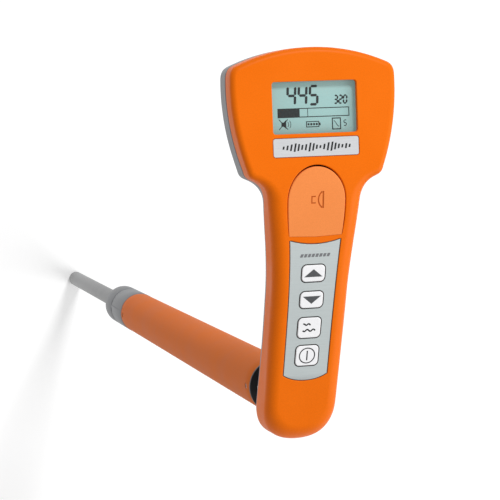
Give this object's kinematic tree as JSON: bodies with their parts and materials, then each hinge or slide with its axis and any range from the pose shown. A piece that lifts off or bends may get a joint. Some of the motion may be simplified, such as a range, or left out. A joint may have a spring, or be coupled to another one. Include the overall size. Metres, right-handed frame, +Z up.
{
  "type": "acoustic leak listening stick",
  "caption": "Hand-held leak listening stick: display receiver with thumb lever and membrane keys on a tilting neck, carrying tube, contact microphone housing and steel probe rod.",
  "frame": {"origin": "centre of the flat end of the probe tip", "axes": "+Z up the stick to the receiver, +Y from the grip end of the receiver to its head, +X to the right of someone reading the display"},
  "size_m": [0.0904, 0.2186, 0.97],
  "materials": {
    "steel_rod": "fine-turned",
    "grey_housing": "satin",
    "black_rubber": "matt",
    "ceramic": "matt",
    "brass": "turned",
    "circuit_board": "solder mask",
    "orange_tube": "matt",
    "plated_steel": "zinc plated",
    "black_plastic": "moulded",
    "orange_shell": "fine moulded grain",
    "grey_shell": "fine moulded grain",
    "clear_window": "clear acrylic",
    "lcd_glass": "reflective display",
    "white_plastic": "moulded",
    "silver_plate": "printed foil",
    "silver_overlay": "printed membrane",
    "white_key": "embossed membrane",
    "battery_jacket": "printed jacket"
  },
  "bodies": {
    "stick": {"probe_rod": "steel_rod", "sensor_end_cap": "grey_housing", "cap_seal_ring": "black_rubber", "sensor_housing": "grey_housing", "piezo_element": "ceramic", "seismic_mass": "brass", "preamp_board": "circuit_board", "sensor_lead": "black_rubber", "carrying_tube": "orange_tube", "set_screw_lower": "plated_steel", "set_screw_upper": "plated_steel", "swivel_base": "black_plastic", "friction_washer_left": "brass", "friction_washer_right": "brass"},
    "receiver": {"swivel_fork": "black_plastic", "hinge_pin": "plated_steel", "hinge_nut": "plated_steel", "neck_screw_1": "plated_steel", "neck_screw_2": "plated_steel", "front_shell": "orange_shell", "rear_shell": "grey_shell", "shell_gasket": "black_rubber", "case_screw_1": "plated_steel", "case_screw_2": "plated_steel", "case_screw_3": "plated_steel", "case_screw_4": "plated_steel", "case_screw_5": "plated_steel", "case_screw_6": "plated_steel", "display_window": "clear_window", "lcd_panel": "lcd_glass", "lcd_backlight": "white_plastic", "main_board": "circuit_board", "type_plate": "silver_plate", "battery_cell_1": "battery_jacket", "battery_cell_2": "battery_jacket", "battery_cell_3": "battery_jacket", "battery_cell_4": "battery_jacket", "battery_contact_1": "plated_steel", "battery_contact_2": "plated_steel", "keypad_overlay": "silver_overlay", "keypad_board": "circuit_board", "thumb_pivot_pin": "plated_steel", "thumb_switch_board": "circuit_board", "thumb_switch": "black_plastic"},
    "thumb_lever": {"thumb_button": "orange_shell"},
    "plunger": {"switch_plunger": "white_plastic"},
    "cover": {"battery_cover": "grey_shell"},
    "key_up_cap": {"key_up": "white_key"},
    "key_down_cap": {"key_down": "white_key"},
    "key_filter_cap": {"key_filter": "white_key"},
    "key_power_cap": {"key_power": "white_key"}
  },
  "joints": [
    {"name": "receiver_tilt", "type": "hinge", "parent": "stick", "child": "receiver", "pos_m": [0, 0, 0.873], "axis": [1, 0, 0], "range_deg": [-60, 20]},
    {"name": "thumb_press", "type": "hinge", "parent": "receiver", "child": "thumb_lever", "pos_m": [0, 0.0923, 0.95552], "axis": [1, 0, 0], "range_deg": [-2.2, 0], "stiffness_Nm_per_rad": 1.5, "springref_deg": 0.57},
    {"name": "plunger_slide", "type": "slide", "parent": "receiver", "child": "plunger", "axis": [0, 0, 1], "range_m": [-0.0015, 0]},
    {"name": "key_up_press", "type": "slide", "parent": "receiver", "child": "key_up_cap", "axis": [0, -0.3568, 0.9342], "range_m": [-0.0005, 0], "stiffness_N_per_m": 5000, "springref_m": 0.00005},
    {"name": "key_down_press", "type": "slide", "parent": "receiver", "child": "key_down_cap", "axis": [0, -0.3918, 0.9201], "range_m": [-0.0005, 0], "stiffness_N_per_m": 5000, "springref_m": 0.00005},
    {"name": "key_filter_press", "type": "slide", "parent": "receiver", "child": "key_filter_cap", "axis": [0, -0.4066, 0.9136], "range_m": [-0.0005, 0], "stiffness_N_per_m": 5000, "springref_m": 0.00005},
    {"name": "key_power_press", "type": "slide", "parent": "receiver", "child": "key_power_cap", "axis": [0, -0.4066, 0.9136], "range_m": [-0.0005, 0], "stiffness_N_per_m": 5000, "springref_m": 0.00005},
    {"name": "cover_slide", "type": "slide", "parent": "receiver", "child": "cover", "axis": [0, 1, 0], "range_m": [0, 0.062]}
  ],
  "couplings": [
    {"joint": "plunger_slide", "follows": "thumb_press", "m_per_rad": 0.0257}
  ]
}
